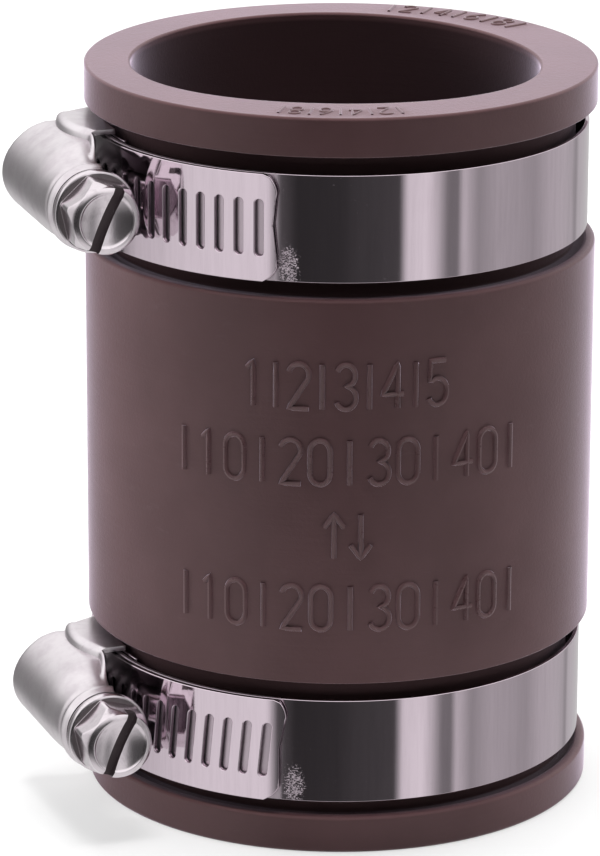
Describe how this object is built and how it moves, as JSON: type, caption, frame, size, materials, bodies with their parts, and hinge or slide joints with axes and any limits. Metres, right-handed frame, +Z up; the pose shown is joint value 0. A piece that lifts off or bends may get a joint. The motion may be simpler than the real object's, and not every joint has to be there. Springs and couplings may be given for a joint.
{
  "type": "flexible pipe coupling",
  "caption": "Rubber sleeve that joins two pipe ends, held by a worm-drive band clamp in the groove near each end, for flexible drain and pipe repairs.",
  "frame": {"origin": "centre of the sleeve's bottom end face, on the bore's axis", "axes": "+Z up along the bore's axis, from the bottom end to the top end; both screw housings stand out towards -X, and both screw heads point towards -Y and a little to +X"},
  "size_m": [0.0705, 0.0608, 0.0889],
  "materials": {
    "rubber": "matte maroon-brown elastomer",
    "band_steel": "bright rolled stainless strip",
    "sheet_steel": "satin pressed stainless sheet",
    "screw_steel": "bright cold-headed stainless"
  },
  "bodies": {
    "sleeve": {"sleeve": "rubber"},
    "upper_clamp": {"upper_band": "band_steel", "upper_housing": "sheet_steel", "upper_saddle": "band_steel"},
    "upper_screw": {"upper_screw": "screw_steel"},
    "lower_clamp": {"lower_band": "band_steel", "lower_housing": "sheet_steel", "lower_saddle": "band_steel"},
    "lower_screw": {"lower_screw": "screw_steel"}
  },
  "joints": [
    {"name": "upper_clamp_turn", "type": "hinge", "parent": "sleeve", "child": "upper_clamp", "pos_m": [0, 0, 0.0757], "axis": [0, 0, 1], "continuous": true},
    {"name": "upper_screw_turn", "type": "hinge", "parent": "upper_clamp", "child": "upper_screw", "pos_m": [-0.03201, -0.01102, 0.0757], "axis": [0.3256, -0.9455, 0], "continuous": true},
    {"name": "lower_clamp_turn", "type": "hinge", "parent": "sleeve", "child": "lower_clamp", "pos_m": [0, 0, 0.0124], "axis": [0, 0, 1], "continuous": true},
    {"name": "lower_screw_turn", "type": "hinge", "parent": "lower_clamp", "child": "lower_screw", "pos_m": [-0.03171, -0.01185, 0.0124], "axis": [0.3502, -0.9367, 0], "continuous": true}
  ]
}
